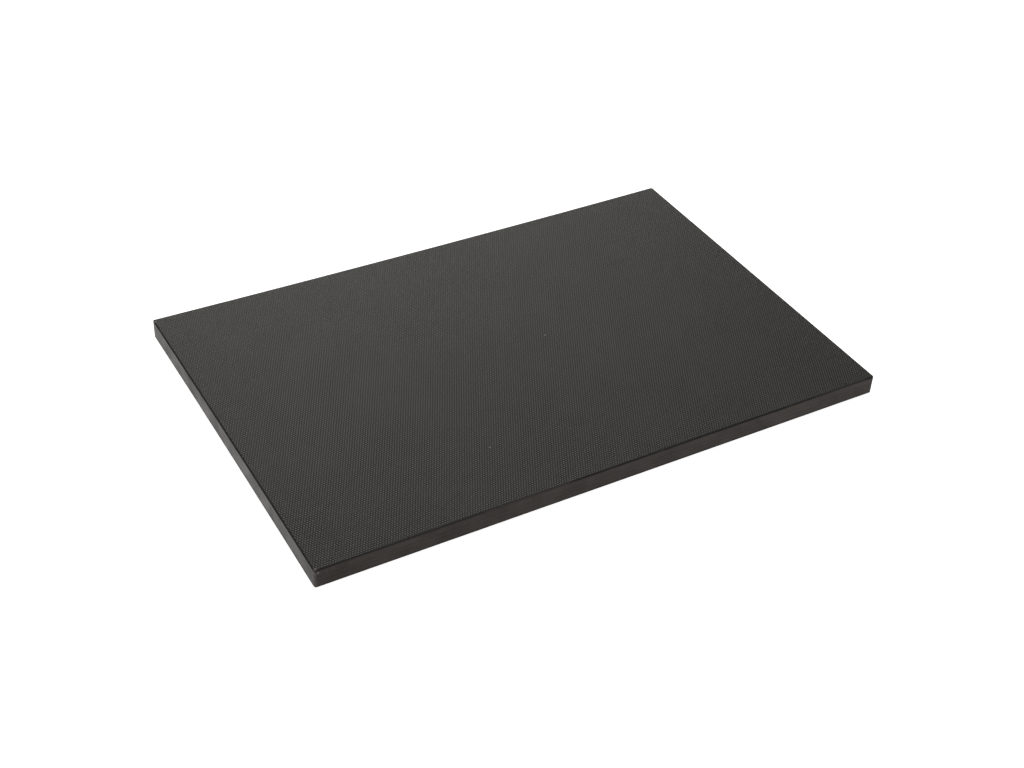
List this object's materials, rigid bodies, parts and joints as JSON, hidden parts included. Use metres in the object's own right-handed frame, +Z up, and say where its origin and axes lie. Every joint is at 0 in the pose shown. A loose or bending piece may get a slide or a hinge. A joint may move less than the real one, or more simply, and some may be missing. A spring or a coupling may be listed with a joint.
{
  "type": "self healing mat",
  "caption": "Flat rectangular self healing mat for leather work: a thick dark slab with finely embossed skins over soft plies and a stiff core, laid under leather for cutting and punching.",
  "frame": {"origin": "centre of the underside, on the surface that the mat lies on", "axes": "+X along the long edge, +Y along the short edge, +Z up, out of the work surface"},
  "size_m": [0.3, 0.2, 0.01],
  "materials": {
    "embossed_skin": "satin",
    "healing_ply": "matte",
    "core_ply": "satin"
  },
  "bodies": {
    "root": {"top_skin": "embossed_skin", "upper_healing_layer": "healing_ply", "rigid_core": "core_ply", "lower_healing_layer": "healing_ply", "bottom_skin": "embossed_skin"}
  },
  "joints": []
}
